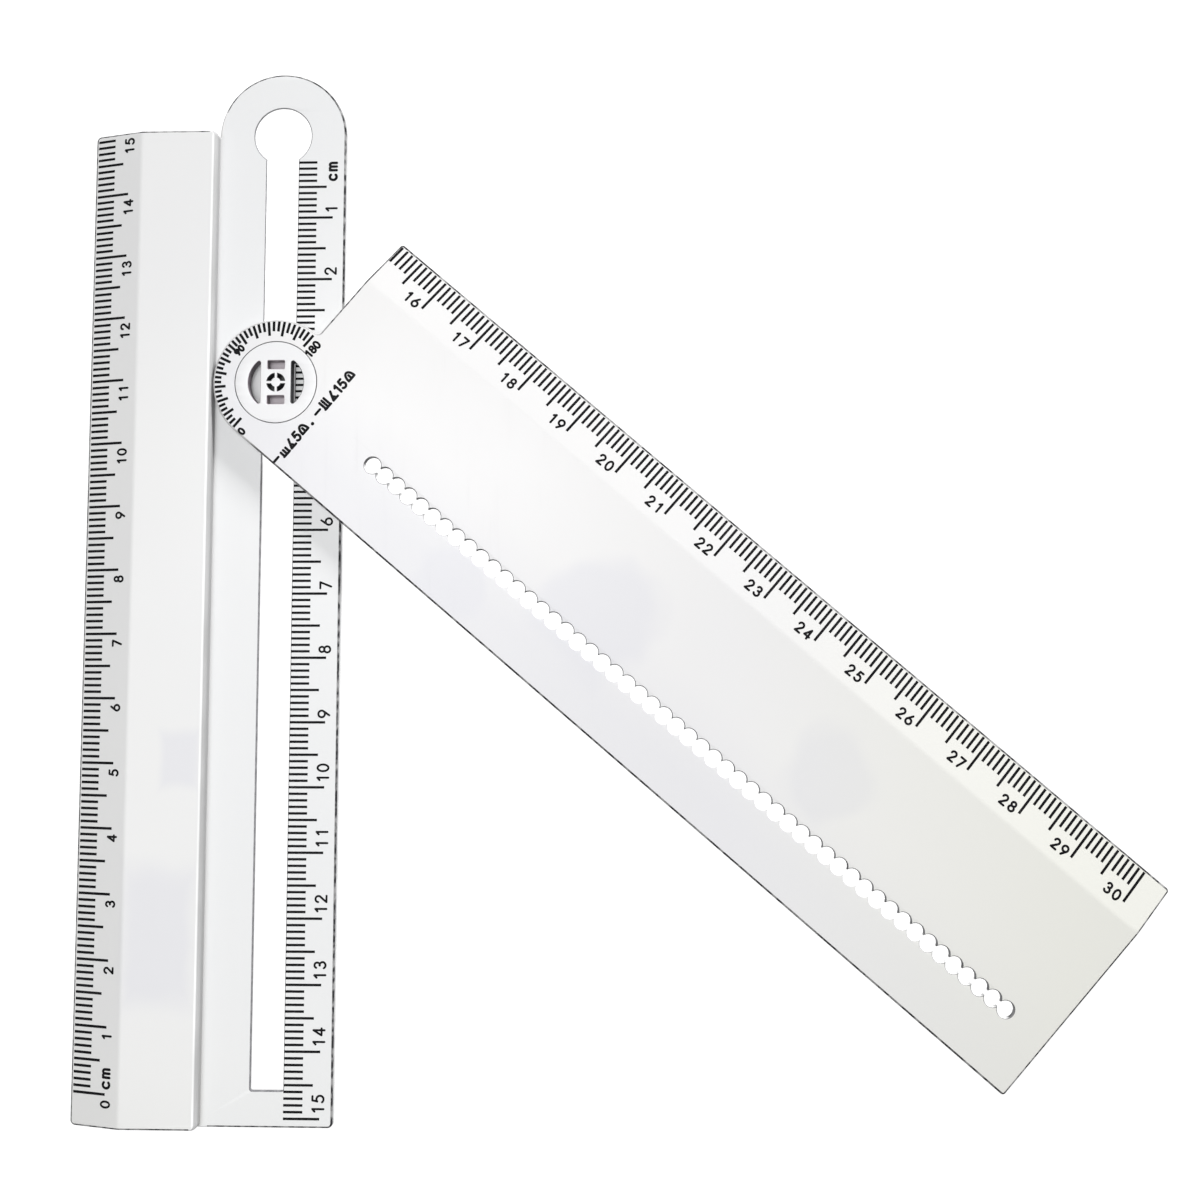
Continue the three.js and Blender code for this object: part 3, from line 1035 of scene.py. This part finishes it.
SCALLOP_WALL = hole_wall(
    "scallop_wall", THICKNESS, (0.95, 1.1), (0.03, 0.03, 0.034, 1), lit_side=ACROSS_ARM)
BUTTON_PLASTIC = plastic("button_plastic", (0.73, 0.73, 0.735, 1), (0.70, 0.70, 0.705, 1))
# painted shade in the other crescent and in the windows
CRESCENT_SHADE = recess("crescent_shade", (0.50, 0.46, 0.49), (0.13, 0.11, 0.125))
WINDOW_SHADE = recess("window_shade", (0.50, 0.46, 0.49), (0.30, 0.27, 0.29))

for maker, body, node, slot_name, materials in (
    (make_base, "base", "base_ruler", "base_plastic", [BASE_PLASTIC, SLOT_WALL, BASE_ARRIS]),
    (make_arm, "arm", "swing_arm", "arm_plastic", [ARM_PLASTIC, SCALLOP_WALL, ARM_ARRIS]),
    (make_button, "button", "pivot_button", "button_plastic",
     [BUTTON_PLASTIC, WINDOW_SHADE, DARK_RECESS, CRESCENT_SHADE]),
):
    piece = maker(materials)
    smooth(piece)
    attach(piece, body)
    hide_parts(node)

for maker, body in (
    (make_base_left_scale, "base"),
    (make_base_right_scale, "base"),
    (make_arm_scale, "arm"),
    (make_protractor, "arm"),
    (make_legend, "arm"),
):
    piece = maker()
    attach(piece, body)

# ---- floor, light and camera -----------------------------------------------------------


FLOOR_HALF = 1.5
FLOOR_Z = -0.00005  # a hair below the underside, so that the two don't coincide


def make_floor():
    material = bpy.data.materials.new("pale_floor")
    material.use_nodes = True
    shader = material.node_tree.nodes["Principled BSDF"]
    shader.inputs["Base Color"].default_value = (0.3, 0.3, 0.3, 1)
    shader.inputs["Roughness"].default_value = 0.8
    shader.inputs["Emission Color"].default_value = WHITE
    shader.inputs["Emission Strength"].default_value = 0.8
    mesh = bpy.data.meshes.new("floor")
    signs = ((-1, -1), (1, -1), (1, 1), (-1, 1))
    corners = [(x * FLOOR_HALF, y * FLOOR_HALF, FLOOR_Z) for x, y in signs]
    mesh.from_pydata(corners, [], [(0, 1, 2, 3)])
    mesh.materials.append(material)
    floor = bpy.data.objects.new("floor", mesh)
    bpy.context.scene.collection.objects.link(floor)


def make_light(name, place, target, size, power):
    data = bpy.data.lights.new(name, "AREA")
    data.shape = "RECTANGLE"
    data.size, data.size_y = size
    data.energy = power
    light = bpy.data.objects.new(name, data)
    light.location = place
    aim = Vector(target) - Vector(place)
    light.rotation_euler = aim.to_track_quat("-Z", "Y").to_euler()
    bpy.context.scene.collection.objects.link(light)


def make_world(strength):
    world = bpy.data.worlds.new("studio")
    world.use_nodes = True
    background = world.node_tree.nodes["Background"]
    background.inputs["Color"].default_value = (0.98, 0.985, 1.0, 1)
    background.inputs["Strength"].default_value = strength
    bpy.context.scene.world = world


def make_camera():
    data = bpy.data.cameras.new("camera")
    data.lens, data.sensor_width = 37.27, 36.0
    data.clip_start, data.clip_end = 0.01, 10.0
    camera = bpy.data.objects.new("camera", data)
    camera.location = (0.07681, 0.06282, 0.19315)
    turns_deg = 3.704, 1.734, 0.050
    camera.rotation_euler = Euler([math.radians(turn) for turn in turns_deg])
    bpy.context.scene.collection.objects.link(camera)
    bpy.context.scene.camera = camera


make_floor()
make_world(0.2)
make_light("key", (0.46, 0.74, 0.21), (0.07, 0.075, 0), (0.25, 0.14), 8.3)
make_light("overhead", (-0.042, -0.010, 0.483), (0.07, 0.065, 0), (0.5, 0.5), 1.75)
make_light("top", (-0.038, 0.196, 0.5), (0.045, 0.10, 0), (0.14, 0.14), 0.42)
make_camera()
bpy.context.scene.view_settings.view_transform = "Standard"
